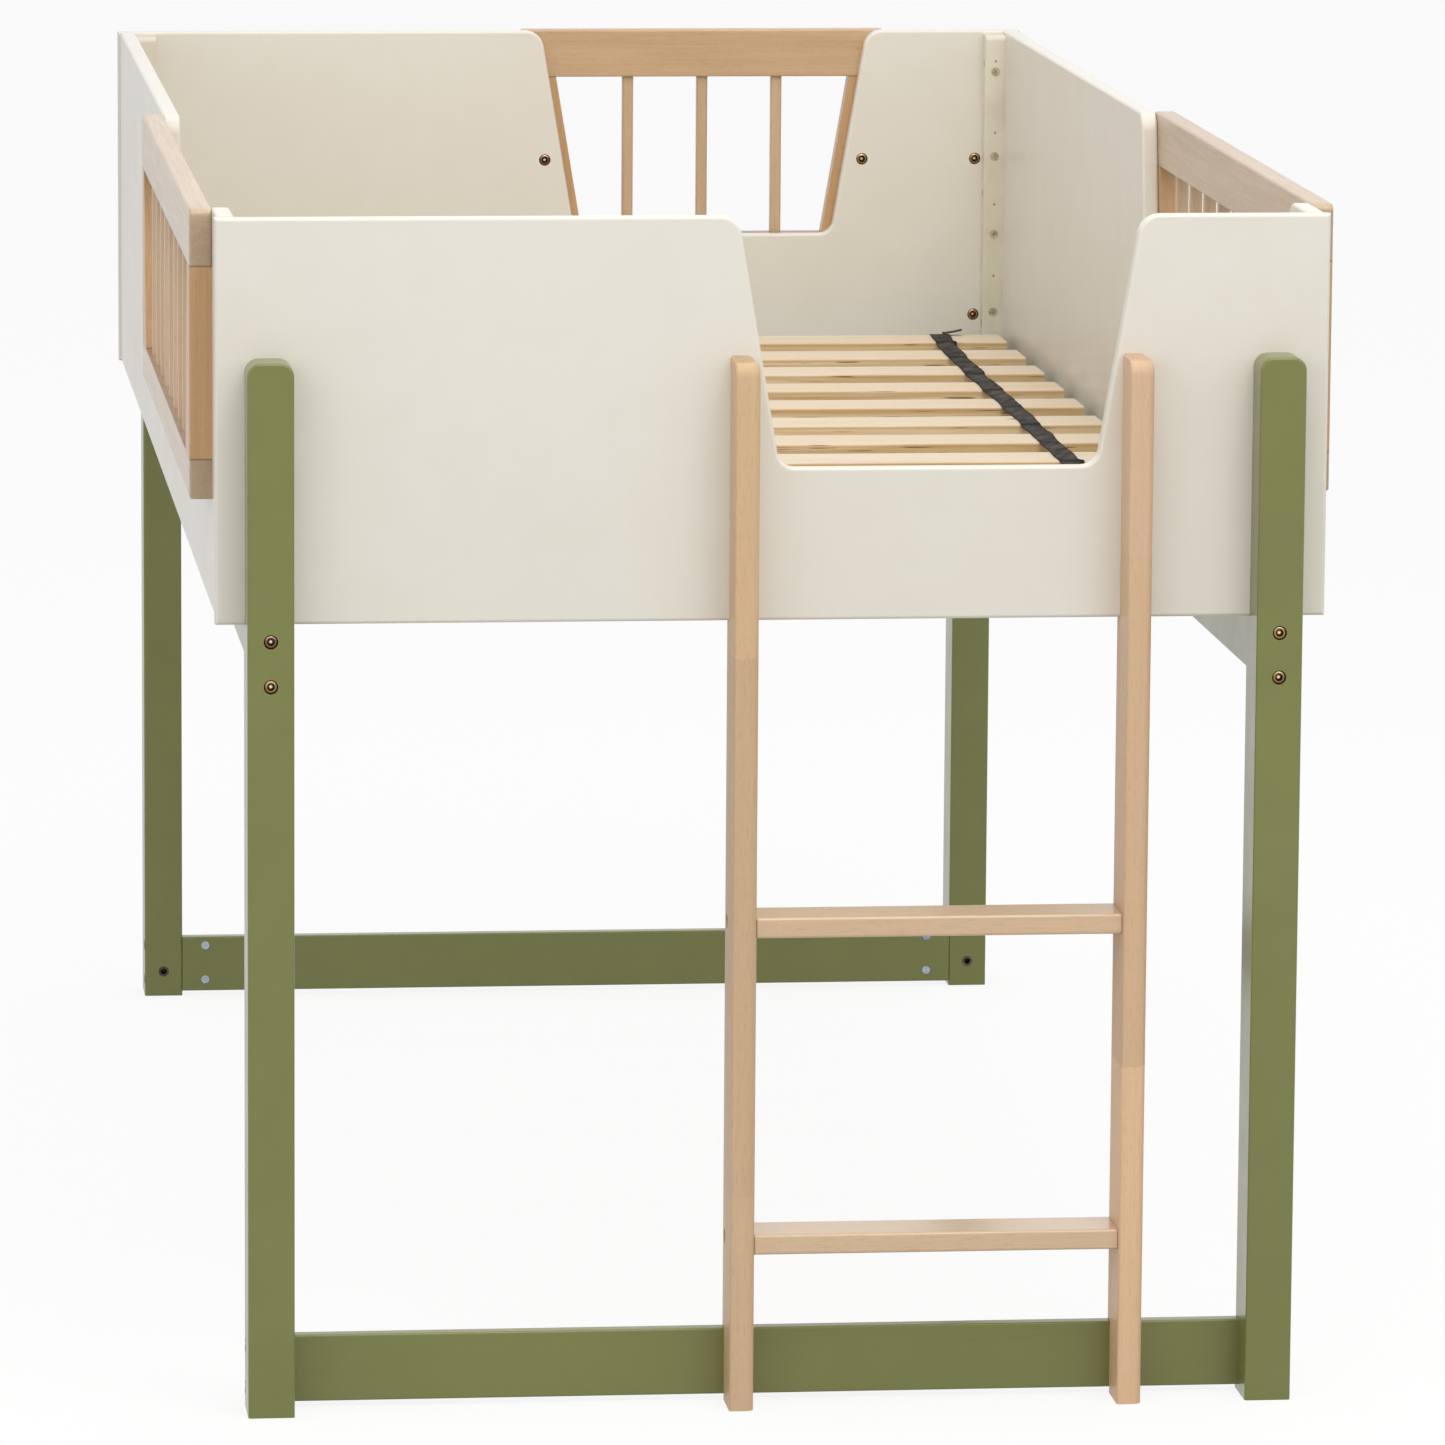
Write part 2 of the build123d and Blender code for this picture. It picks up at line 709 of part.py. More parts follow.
# The ladder stands proud of the front legs, so the middle of the whole bed is not the well's
to_part_frame = Pos(0, ladder_proud / 2, 0)
os.makedirs("parts", exist_ok=True)
for node, shape in nodes.items():
    export_step(to_part_frame * shape, "parts/" + node + ".step")
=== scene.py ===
import math

import bmesh
import bpy
from mathutils import Euler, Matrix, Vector


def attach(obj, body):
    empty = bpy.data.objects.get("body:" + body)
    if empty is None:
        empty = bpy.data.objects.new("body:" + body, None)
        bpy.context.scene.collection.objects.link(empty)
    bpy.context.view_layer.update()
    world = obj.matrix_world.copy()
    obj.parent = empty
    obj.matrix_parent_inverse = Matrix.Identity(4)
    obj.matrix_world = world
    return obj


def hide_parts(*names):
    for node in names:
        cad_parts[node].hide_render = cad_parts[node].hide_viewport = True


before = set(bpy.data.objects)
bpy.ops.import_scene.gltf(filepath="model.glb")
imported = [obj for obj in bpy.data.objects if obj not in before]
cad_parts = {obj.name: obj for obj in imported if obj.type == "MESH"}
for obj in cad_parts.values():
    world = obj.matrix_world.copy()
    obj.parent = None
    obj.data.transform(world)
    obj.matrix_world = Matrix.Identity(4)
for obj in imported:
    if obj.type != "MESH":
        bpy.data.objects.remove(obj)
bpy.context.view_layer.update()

# Sizes of the bed that the pieces made here follow, in metres
WELL_MIDDLE_Y = 0.003
SLAT_COUNT = 13
SLAT_PITCH = 0.142
SLAT_WIDTH = 0.072
SLAT_TOP = 0.733
SLAT_THICK = 0.015
STRAP_CENTRE = 0.3835
STRAP_WIDTH = 0.020
STRAP_THICK = 0.0012
GUARD_LOW_JOINT = 0.8345
GUARD_HIGH_JOINT = 1.005
UPRIGHT_INNER_FACES = (-0.01717, 0.30717)

# Pilot holes of the cleats. Each row is a distance from the middle and its lowest hole's height.
PILOT_ROWS = ((0.461, 0.790), (0.961, 0.818))
PILOT_COUNT = 4
PILOT_PITCH = 0.078
PILOT_RADIUS = 0.0009
PILOT_RIM = 0.0016

# Bolt heads: radii of the head and of the painted shadow round it, of the socket's ring of painted
# shade and its width, and of the painted glint in the socket's middle and its rim
HEAD_RADIUS = 0.0050
HEAD_SHADOW_RADIUS = 0.0057
SOCKET_SHADE_RADIUS = 0.0026
SOCKET_SHADE_WIDTH = 0.0012
GLINT_RADIUS = 0.0006
GLINT_RIM = 0.0015

# How the straps lie: clear of a slat, bent round it, dipping between slats and tucked under
STRAP_GAP = 0.0002
STRAP_STAND = 0.0014
STRAP_CORNER = 0.0008
STRAP_BEND = 0.004
STRAP_REST = 0.010
STRAP_DIP = 0.0008
STRAP_DIP_CHANGE = 0.0005
STRAP_CELL = 0.004
STRAP_RIPPLE = 0.00022

# Waves of a strap along its length: size, radians per metre and multiple of its own phase
STRAP_WANDER = ((0.0008, 9, 1), (0.0004, 47, 2))
STRAP_NARROWING = ((0.04, 37, 1), (0.03, 83, 1))
STRAP_PHASES = {1: 0.0, -1: 1.9}

# Folds that stand out beside a strap: the slat and how far out
STRAP_TAGS = ((SLAT_COUNT, 0.0060), (6, 0.0055))

# Studio: share of the floor's own glow, light of the surround, and the softboxes, each with its
# place, target, size, watts and colour
FLOOR_REACH = 20.0
FLOOR_GLOW = 0.86
AMBIENT_COLOUR = (1.0, 0.98, 1.0, 1.0)
AMBIENT_STRENGTH = 0.67
WHITE = (1.0, 1.0, 1.0, 1.0)
SOFTBOXES = {
    "key_softbox": ((2.0, -3.9, 2.6), (0.05, -0.9, 0.65), 3.0, 19, (0.98, 1.0, 1.0)),
    "high_softbox": ((0.4, -2.9, 4.2), (0.0, -0.2, 0.6), 2.6, 68, (0.98, 1.0, 0.92)),
    "top_softbox": ((0.3, 0.5, 4.2), (0.0, 0.2, 0.0), 3.2, 35, (1.0, 0.98, 0.97)),
    "left_softbox": ((-2.6, -4.2, 1.9), (0.0, -1.0, 0.7), 2.6, 17, (1.0, 1.0, 0.98)),
    "left_fill": ((-4.6, -1.4, 2.2), (0.0, 0.0, 0.7), 3.0, 15, (0.88, 0.94, 1.0)),
}

# The photograph's camera, fitted to the corners of the bed. Angles are in degrees.
SENSOR_MM = 36.0
LENS_MM = 227.73
CAMERA_PLACE = (-0.9057, -8.8702, 1.8693)
CAMERA_YAW = 6.2344
CAMERA_PITCH = 9.0233
CAMERA_ROLL = 0.3954
CAMERA_FAR = 80.0

# Where the bolt heads are: an axis, a middle on it, how far the heads stand from that
# middle on both sides, and their heights
BOLT_ROWS = {
    "leg_bearer_bolts": [(0, 0.0, 0.4435, (0.65097, 0.69049))],
    "leg_panel_bolts": [(0, 0.0, 0.4420, (0.7454, 0.9160))],
    "ladder_bolts": [(0, 0.145, 0.17317, (0.9160, 0.0350))],
    "guard_bolts": [(0, 0.145, 0.17317, (0.9160,)), (1, -0.4435, 0.42617, (0.9160,))],
    "lower_rail_bolts": [(1, WELL_MIDDLE_Y, 0.9795, (0.0175, 0.0555))],
    "rung_bolts": [(1, -0.984, 0.0, (0.1485, 0.4325))],
}


def tone(red, green, blue):
    """A paint tone given as 0 to 255, as the linear colour that shaders take."""
    linear = []
    for part in (red, green, blue):
        share = part / 255
        linear.append(share / 12.92 if share <= 0.04045 else ((share + 0.055) / 1.055) ** 2.4)
    return (*linear, 1.0)


class Field:
    """A value, colour or direction that varies over a surface, for use in sums."""

    def __init__(self, nodes, socket):
        self.nodes = nodes
        self.socket = socket

    def __add__(self, other):
        return self.nodes.maths("ADD", self, other)

    def __radd__(self, other):
        return self.nodes.maths("ADD", other, self)

    def __sub__(self, other):
        return self.nodes.maths("SUBTRACT", self, other)

    def __rsub__(self, other):
        return self.nodes.maths("SUBTRACT", other, self)

    def __mul__(self, other):
        return self.nodes.maths("MULTIPLY", self, other)

    def __rmul__(self, other):
        return self.nodes.maths("MULTIPLY", other, self)

    def __truediv__(self, other):
        return self.nodes.maths("DIVIDE", self, other)

    def __rtruediv__(self, other):
        return self.nodes.maths("DIVIDE", other, self)

    def __gt__(self, other):
        return self.nodes.maths("GREATER_THAN", self, other)

    def __lt__(self, other):
        return self.nodes.maths("LESS_THAN", self, other)

    def __abs__(self):
        return self.nodes.maths("ABSOLUTE", self)


class Nodes:
    """A node tree and short ways to add to it."""

    def __init__(self, tree):
        self.tree = tree

    def node(self, kind, settings=None, sockets=None, output=0):
        made = self.tree.nodes.new(kind)
        for name, value in (settings or {}).items():
            setattr(made, name, value)
        for name, value in (sockets or {}).items():
            self.feed(made.inputs[name], value)
        return Field(self, made.outputs[output])

    def feed(self, socket, value):
        if isinstance(value, Field):
            self.tree.links.new(value.socket, socket)
        else:
            socket.default_value = value

    def maths(self, operation, *values):
        return self.node("ShaderNodeMath", {"operation": operation}, dict(enumerate(values)))

    def place(self, scale=(1, 1, 1), turn=(0, 0, 0), shift=(0, 0, 0), start=None):
        """Place on the bed, scaled and turned for a pattern."""
        here = start or self.node("ShaderNodeTexCoord", output="Object")
        sockets = {"Vector": here, "Scale": scale, "Rotation": turn, "Location": shift}
        return self.node("ShaderNodeMapping", None, sockets)

    def axis(self, number, kind="Object"):
        """One coordinate of the place or, with kind Normal, of the direction that a face looks."""
        here = self.node("ShaderNodeTexCoord", output=kind)
        return self.node("ShaderNodeSeparateXYZ", None, {0: here}, number)

    def noise(self, place, scale=1.0, detail=2.0, rough=0.5, distortion=0.0):
        sockets = {"Vector": place, "Scale": scale, "Detail": detail, "Roughness": rough}
        sockets["Distortion"] = distortion
        return self.node("ShaderNodeTexNoise", None, sockets, "Fac")

    def spread(self, value, low, high, to_low=0.0, to_high=1.0):
        """Clamped change of range."""
        sockets = {"Value": value, "From Min": low, "From Max": high}
        sockets.update({"To Min": to_low, "To Max": to_high})
        return self.node("ShaderNodeMapRange", None, sockets)

    def blend(self, mask, first, second, mode="MIX"):
        settings = {"data_type": "RGBA", "blend_type": mode}
        return self.node("ShaderNodeMix", settings, {0: mask, 6: first, 7: second}, 2)

    def near(self, value, place, reach):
        """1 at a place on an axis, falling to 0 at its reach."""
        return self.spread(abs(value - place), reach * 0.5, reach, 1.0, 0.0)

    def away(self, *offsets):
        """Distance from offsets along the axes."""
        total = 0.0
        for offset in offsets:
            total = offset * offset + total
        return self.maths("SQRT", total)


class Finish(Nodes):
    """One finish of the bed, built on the main shader of its material."""

    def __init__(self, name, roughness=0.5, metallic=0.0, coat=0.0, specular=0.5):
        self.material = bpy.data.materials.new(name)
        self.material.use_nodes = True
        super().__init__(self.material.node_tree)
        self.shader = self.tree.nodes["Principled BSDF"]
        constants = {"Roughness": roughness, "Metallic": metallic, "Coat Weight": coat}
        constants.update({"Coat Roughness": 0.20, "Specular IOR Level": specular})
        for socket, value in constants.items():
            self.paint(socket, value)

    def paint(self, name, value):
        self.feed(self.shader.inputs[name], value)

    def bump(self, height, strength, distance):
        sockets = {"Height": height, "Strength": strength, "Distance": distance}
        self.paint("Normal", self.node("ShaderNodeBump", None, sockets))


def lacquer(name, body, shade, coat, peel):
    """Sprayed satin lacquer: a faint drift of tone and a fine orange peel."""
    finish = Finish(name, 0.38, coat=coat, specular=0.42)
    drift = finish.noise(finish.place(), 2.3, 3.0, 0.55)
    cloud = finish.noise(finish.place(), 26.0, 2.0)
    mottle = finish.spread(drift * 0.7 + cloud * 0.3, 0.38, 0.62)
    finish.paint("Base Color", finish.blend(mottle, body, shade))
    polish = finish.noise(finish.place(), 14.0, 3.0, 0.6)
    finish.paint("Roughness", finish.spread(polish, 0.3, 0.7, 0.33, 0.43))
    finish.bump(finish.noise(finish.place(), 420.0, 1.5), peel, 0.0004)
    return finish


def cleat_lacquer():
    """The panels' lacquer on the corner cleats, with small pilot holes between their screws."""
    finish = Finish("cleat_lacquer", 0.42)
    drift = finish.noise(finish.place(), 30.0)
    body = finish.blend(finish.spread(drift, 0.35, 0.65), tone(228, 222, 206), tone(219, 211, 193))
    bare_wood = tone(148, 128, 98)
    height = finish.axis(2)
    beside = abs(finish.axis(0))
    behind = abs(finish.axis(1) - WELL_MIDDLE_Y)
    dents = 0.0
    for row, (middle, foot) in zip((beside, behind), PILOT_ROWS):
        for number in range(PILOT_COUNT):
            away = finish.away(row - middle, height - (foot + PILOT_PITCH * number))
            dents = finish.spread(away, PILOT_RADIUS, PILOT_RIM, 1.0, 0.0) + dents
    finish.paint("Base Color", finish.blend(dents, body, bare_wood))
    finish.bump(finish.noise(finish.place(), 380.0, 1.5) * 0.4 - dents, 0.15, 0.0005)
    return finish


def grain(along, across, length):
    """Scale of a pattern that is drawn out along one axis."""
    scale = [across, across, across]
    scale[along] = length
    return tuple(scale)


def oak(name, along, tones, shift=0.0, joints=(), seams=(), figure=1.0, coat=0.22, specular=0.5):
    """Satin lacquered light oak. Along is the axis of its grain. Joints are butt joints of its
    staves, each with the tone of the stave past it. Seams are fine dark lines where two pieces
    meet, each an axis and a place. Figure is how strongly the grain shows."""
    finish = Finish(name, 0.42, coat=coat, specular=specular)
    pale, mid, dark = tones
    pore_tone, end_tone, seam_tone = tone(140, 106, 74), tone(172, 150, 124), tone(96, 62, 38)
    offset = (shift, shift * 1.7, shift * 0.6)
    wander = finish.noise(finish.place(grain(along, 14.0, 1.3), shift=offset), 1.0, 3.0, 0.6)
    rings = finish.noise(finish.place(grain(along, 85.0, 2.4), shift=offset), 1.0, 4.0, 0.6, 1.1)
    streaks = finish.noise(finish.place(grain(along, 480.0, 9.0), shift=offset), 1.0, 2.0, 0.6)
    pores = finish.noise(finish.place(grain(along, 1300.0, 75.0), shift=offset), 1.0, 1.0)
    pores = finish.spread(pores, 0.60, 0.70)
    colour = finish.blend(finish.spread(rings, 0.34, 0.66) * figure, pale, mid)
    colour = finish.blend(finish.spread(wander, 0.38, 0.72) * (0.5 * figure), colour, dark)
    colour = finish.blend(finish.spread(streaks, 0.45, 0.75) * (0.26 * figure), colour, dark)
    colour = finish.blend(pores * 0.20, colour, pore_tone)
    flecks = finish.noise(finish.place((260.0, 260.0, 120.0), (0.6, 0.6, 0.0), offset), 1.0, 1.0)
    colour = finish.blend(finish.spread(flecks, 0.58, 0.72) * 0.14, colour, pale)
    height = finish.axis(along)
    ragged = finish.noise(finish.place((230.0, 230.0, 230.0), shift=offset), 1.0, 0.0)
    for place, stave in joints:
        past = height + (ragged - 0.5) * 0.004 > place
        colour = finish.blend(past, colour, stave, "MULTIPLY")
    ends = finish.spread(abs(finish.axis(along, "Normal")), 0.80, 0.92)
    speckle = finish.noise(finish.place(shift=offset), 700.0, 2.0, 0.6)
    arcs = finish.noise(finish.place((40, 40, 40), shift=offset), 1.0, 3.0, 0.6, 2.0)
    sawn = finish.blend(finish.spread(arcs * 0.6 + speckle * 0.4, 0.38, 0.62), mid, dark)
    colour = finish.blend(ends, colour, finish.blend(0.40, sawn, end_tone))
    for axis, place in seams:
        line = finish.near(finish.axis(axis), place, 0.0010) * 0.6
        colour = finish.blend(line, colour, seam_tone)
    finish.paint("Base Color", colour)
    finish.paint("Roughness", finish.spread(streaks, 0.3, 0.8, 0.36, 0.50))
    finish.bump(streaks * 0.5 - pores, 0.16, 0.0004)
    return finish


def pine():
    """Planed pine slats, each its own board: pale faces and amber edges with pitch streaks."""
    finish = Finish("slat_pine", 0.60, specular=0.35)
    here = finish.node("ShaderNodeTexCoord", output="Object")
    board = finish.maths("FLOOR", (finish.axis(1) - WELL_MIDDLE_Y) / SLAT_PITCH + 0.5)
    lot = finish.node("ShaderNodeTexWhiteNoise", {"noise_dimensions": "1D"}, {"W": board}, "Value")
    push = finish.node("ShaderNodeCombineXYZ", None, {0: lot * 7.0, 1: lot * 3.0, 2: lot * 5.0})
    own = finish.node("ShaderNodeVectorMath", {"operation": "ADD"}, {0: here, 1: push})
    rings = finish.noise(finish.place((2.2, 75.0, 75.0), start=own), 1.0, 3.0, 0.55, 1.6)
    fine = finish.noise(finish.place((6.0, 520.0, 520.0), start=own), 1.0, 2.0, 0.6)
    drift = finish.noise(finish.place((1.4, 10.0, 10.0), start=own), 1.0, 2.0)
    late = finish.spread(rings, 0.50, 0.66) * 0.50
    colour = finish.blend(late, tone(228, 215, 194), tone(214, 188, 151))
    colour = finish.blend(finish.spread(fine, 0.45, 0.75) * 0.25, colour, tone(210, 178, 134))
    colour = finish.blend(finish.spread(drift, 0.4, 0.7) * 0.30, colour, tone(230, 207, 172))
    colour = finish.blend(lot * 0.16, colour, tone(220, 192, 150))
    edge = finish.spread(abs(finish.axis(1, "Normal")), 0.45, 0.85)
    late = finish.spread(rings, 0.38, 0.60)
    amber = finish.blend(late, tone(234, 208, 168), tone(212, 178, 130))
    amber = finish.blend(finish.spread(fine, 0.48, 0.74) * 0.45, amber, tone(192, 152, 102))
    arris = finish.near(finish.axis(2), SLAT_TOP - 0.0026, 0.0016) * 0.35
    amber = finish.blend(arris, amber, tone(180, 140, 94))
    colour = finish.blend(edge, colour, amber)
    knots = {"Vector": finish.place((4.2, 9.0, 9.0), start=own), "Scale": 1.0}
    knots = finish.node("ShaderNodeTexVoronoi", None, knots, "Distance")
    colour = finish.blend(finish.spread(knots, 0.045, 0.080, 0.7, 0.0), colour, tone(140, 96, 58))
    resin = finish.noise(finish.place((15.0, 320.0, 320.0), start=own), 1.0, 1.0, 0.4)
    streaks = finish.spread(resin, 0.66, 0.72) * (0.10 + edge * 0.75)
    colour = finish.blend(streaks, colour, tone(112, 76, 44))
    sawn = finish.spread(abs(finish.axis(0, "Normal")), 0.8, 0.92)
    colour = finish.blend(sawn * 0.5, colour, tone(198, 166, 122))
    finish.paint("Base Color", colour)
    finish.paint("Roughness", finish.spread(fine, 0.3, 0.8, 0.54, 0.68))
    finish.bump(fine - streaks, 0.25, 0.0004)
    return finish


def plated(name, bright, dull, roughness):
    """Plated steel whose tone differs from one fastener to the next."""
    finish = Finish(name, roughness, metallic=1.0)
    lots = finish.noise(finish.place(), 7.0, 0.0)
    patina = finish.noise(finish.place(), 310.0, 2.0, 0.6)
    lot = finish.spread(lots * 0.7 + patina * 0.3, 0.40, 0.60)
    finish.paint("Base Color", finish.blend(lot, bright, dull))
    finish.paint("Roughness", finish.spread(patina, 0.3, 0.7, roughness - 0.05, roughness + 0.12))
    finish.bump(finish.noise(finish.place(), 900.0, 1.0), 0.06, 0.0002)
    return finish


def bolt_plate(name, rows):
    """Bronze plated bolts, some purple and some golden, with a painted highlight on upward faces,
    painted shade on downward faces, a painted shadow round each head, a ring of painted shade in
    the socket and a painted glint in its middle.
    """
    finish = Finish(name, 0.26, metallic=1.0)
    height = finish.axis(2)
    away = 1.0
    for axis, middle, offset, places in rows:
        across = abs(finish.axis(axis) - middle) - offset
        for place in places:
            away = finish.maths("MINIMUM", finish.away(across, height - place), away)
    lots = finish.noise(finish.place((1.0, 1.0, 1.0), shift=(3.1, 0.4, 0.2)), 34.0, 0.0)
    patina = finish.noise(finish.place(), 310.0, 2.0, 0.6)
    lot = finish.spread(lots * 0.85 + patina * 0.15, 0.42, 0.58)
    colour = finish.blend(lot, tone(132, 96, 84), tone(170, 136, 84))
    up = finish.axis(2, "Normal")
    # Painted shade on the downward faces of the heads, then a painted highlight on their upward
    # faces.
    colour = finish.blend(finish.spread(up, -0.05, -0.60) * 0.55, colour, tone(62, 42, 36))
    colour = finish.blend(finish.spread(up, 0.12, 0.50), colour, tone(255, 238, 218))
    # Painted shadow round the rim of each head.
    colour = finish.blend(finish.spread(away, HEAD_RADIUS, HEAD_SHADOW_RADIUS), colour, tone(48, 34, 26))
    # A ring of painted shade on the socket's wall.
    colour = finish.blend(finish.near(away, SOCKET_SHADE_RADIUS, SOCKET_SHADE_WIDTH), colour, tone(50, 34, 28))
    # A painted glint in the middle of the socket.
    painted_glint = finish.spread(away, GLINT_RADIUS, GLINT_RIM, 1.0, 0.0)
    colour = finish.blend(painted_glint, colour, tone(255, 240, 208))
    finish.paint("Base Color", colour)
    finish.paint("Roughness", finish.spread(patina, 0.3, 0.7, 0.20, 0.34))
    finish.bump(patina, 0.05, 0.0002)
    return finish


def coated_screw():
    """Cream screws with the coating rubbed thin in patches."""
    finish = Finish("coated_screw", 0.42, metallic=0.25)
    wear = finish.noise(finish.place(), 420.0, 2.0, 0.6)
    colour = finish.blend(finish.spread(wear, 0.4, 0.65), tone(206, 196, 174), tone(166, 150, 122))
    finish.paint("Base Color", colour)
    finish.bump(wear, 0.1, 0.0002)
    return finish


def webbing():
    """Ribbed polypropylene webbing, creased aslant, with painted shade where it drops off the slats
    and a painted highlight and painted shade along its folds.
    """
    finish = Finish("strap_webbing", 0.82, specular=0.12)
    lay = finish.node("ShaderNodeTexCoord", output="UV")
    across = finish.node("ShaderNodeSeparateXYZ", None, {0: lay}, 0)
    along = finish.node("ShaderNodeSeparateXYZ", None, {0: lay}, 1)
    weave = finish.maths("SINE", along * (math.tau * 640)) * 0.5
    weave = finish.maths("SINE", across * (math.tau * 11)) * 0.35 + weave
    slub = finish.noise(finish.place((60.0, 16.0, 60.0)), 1.0, 3.0, 0.6)
    slope = {0: across * 0.9, 1: (along - across * 0.030) * 44.0}
    folds_and_fold_shading = finish.noise(finish.node("ShaderNodeCombineXYZ", None, slope), 1.0, 2.0, 0.5)
    pitch = finish.maths("FRACT", (along - WELL_MIDDLE_Y) / SLAT_PITCH + 0.5)
    front = 0.5 - SLAT_WIDTH / SLAT_PITCH / 2
    # Painted shade in the gap just in front of each slat's front edge, where the strap drops off
    # the slat; the same mask dips the bump there.
    drop_and_shade = finish.near(pitch, front - 0.028, 0.046)
    yarn = finish.spread(weave * 0.3 + slub, 0.25, 0.85)
    colour = finish.blend(yarn, tone(62, 60, 58), tone(80, 77, 75))
    # Fold ridges get a painted highlight and fold hollows painted shade; the same folds also shape
    # the bump.
    colour = finish.blend(finish.spread(folds_and_fold_shading, 0.54, 0.64) * 0.5, colour, tone(100, 97, 94))
    colour = finish.blend(finish.spread(folds_and_fold_shading, 0.46, 0.40) * 0.7, colour, tone(42, 40, 40))
    colour = finish.blend(drop_and_shade * 0.8, colour, tone(34, 32, 33))
    selvedge = finish.spread(abs(across - 0.5), 0.42, 0.49)
    colour = finish.blend(selvedge * 0.5, colour, tone(44, 43, 42))
    finish.paint("Base Color", colour)
    finish.paint("Roughness", finish.spread(slub, 0.3, 0.7, 0.74, 0.90))
    finish.bump(weave * 0.3 + folds_and_fold_shading * 2.5 - drop_and_shade, 0.6, 0.0010)
    return finish


def dress(belt):
    """Every CAD node takes the first finish whose start and end fit its name."""
    cream = lacquer("cream_lacquer", tone(231, 227, 217), tone(228, 223, 212), 0.18, 0.05)
    green = lacquer("green_lacquer", tone(120, 124, 61), tone(115, 119, 56), 0.55, 0.08)
    cleats = cleat_lacquer()
    # Oak tones, one set per piece, each fitted to how that piece looks under light: the right
    # upright's and the balusters' tones are lighter copies that hold painted light, the posts'
    # tones a darker, more orange copy that holds painted shade, and the other sets hold some
    # painted light and shade besides the wood's own differences.
    ladder_tones = (tone(217, 186, 150), tone(208, 176, 140), tone(192, 157, 119))
    right_lit_tones = (tone(234, 197, 160), tone(224, 186, 149), tone(207, 166, 127))
    guard_tones = (tone(203, 178, 148), tone(190, 163, 132), tone(169, 140, 108))
    back_tones = (tone(210, 178, 141), tone(197, 163, 125), tone(175, 140, 103))
    baluster_lit_tones = (tone(213, 184, 150), tone(202, 172, 138), tone(184, 152, 118))
    post_shaded_tones = (tone(209, 169, 123), tone(196, 155, 109), tone(175, 134, 91))
    left_staves = [(0.192, tone(250, 249, 250)), (0.673, tone(265, 266, 262))]
    right_staves = [(0.305, tone(238, 240, 240)), (0.760, tone(257, 257, 262))]
    seams = [(0, face) for face in UPRIGHT_INNER_FACES]
    guard_seams = [(2, GUARD_LOW_JOINT), (2, GUARD_HIGH_JOINT)]
    matt = {"figure": 0.55, "coat": 0.0, "specular": 0.22}
    left_upright = oak("ladder_oak_left", 2, ladder_tones, 0.0, left_staves, **matt)
    right_upright = oak("ladder_oak_right", 2, right_lit_tones, 3.1, right_staves, **matt)
    rungs = oak("ladder_oak_rungs", 0, ladder_tones, 5.3, (), seams, figure=0.55, coat=1.0)
    rails = oak("guard_oak_rails", 1, guard_tones, 7.9, (), guard_seams, coat=0.5)
    back_rails = oak("guard_oak_back_rails", 0, back_tones, 11.3, (), guard_seams)
    posts = oak("guard_oak_posts", 2, post_shaded_tones, 13.7, (), guard_seams)
    balusters = oak("guard_oak_balusters", 2, baluster_lit_tones, 17.1, coat=0.5)
    boards = pine()
    zinc = plated("zinc_plate", tone(190, 204, 212), tone(140, 150, 158), 0.26)
    insert = plated("dark_insert", tone(96, 88, 76), tone(60, 54, 48), 0.42)
    rules = [
        ("", "panel", cream),
        ("", "cleat", cleats),
        ("", "_leg", green),
        ("", "lower_rail", green),
        ("", "bearer", green),
        ("ladder_left_upright", "", left_upright),
        ("ladder_right_upright", "", right_upright),
        ("", "rung", rungs),
        ("back_guard", "rail", back_rails),
        ("", "rail", rails),
        ("", "post_a", posts),
        ("", "post_b", posts),
        ("", "balusters", balusters),
        ("slat", "", boards),
        ("", "strap", belt),
        ("cleat_screws", "", coated_screw()),
        ("leg_inserts", "", insert),
        ("", "nuts", zinc),
    ]
    rules += [(name, "", bolt_plate(name, rows)) for name, rows in BOLT_ROWS.items()]
    for name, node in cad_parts.items():
        fitting = [rule[2] for rule in rules if name.startswith(rule[0]) and name.endswith(rule[1])]
        node.data.materials.clear()
        node.data.materials.append(fitting[0].material)


def strap_route():
    """Side view of a strap as points of depth and height, from one tucked end to the other."""
    first = WELL_MIDDLE_Y - SLAT_PITCH * (SLAT_COUNT - 1) / 2
    half = SLAT_WIDTH / 2
    top = SLAT_TOP + STRAP_THICK / 2 + STRAP_GAP
    under = SLAT_TOP - SLAT_THICK
    start = first - half
    points = [(start + STRAP_REST, under - STRAP_THICK), (start - STRAP_THICK, under)]
    points.append((start - STRAP_STAND, SLAT_TOP - STRAP_BEND))
    points.append((start + STRAP_CORNER, SLAT_TOP - STRAP_GAP))
    for number in range(SLAT_COUNT):
        middle = first + SLAT_PITCH * number
        points.append((middle - half + STRAP_BEND, top))
        points += [(middle - STRAP_REST, top), (middle + STRAP_REST, top)]
        points.append((middle + half - STRAP_BEND, top))
        if number < SLAT_COUNT - 1:
            dip = STRAP_DIP + STRAP_DIP_CHANGE * math.sin(number * 2.3)
            front = middle + SLAT_PITCH - half
            points.append((middle + half + 0.012, top - dip * 0.5))
            points.append((middle + SLAT_PITCH / 2, top - dip))
            points += [(front - 0.009, top - dip), (front - 0.002, top - dip * 0.4)]
    end = WELL_MIDDLE_Y + SLAT_PITCH * (SLAT_COUNT - 1) / 2 + half
    points.append((end - STRAP_CORNER, SLAT_TOP - STRAP_GAP))
    points.append((end + STRAP_STAND, SLAT_TOP - STRAP_BEND))
    points += [(end + STRAP_THICK, under), (end - STRAP_REST, under - STRAP_THICK)]
    return [Vector(point) for point in points]


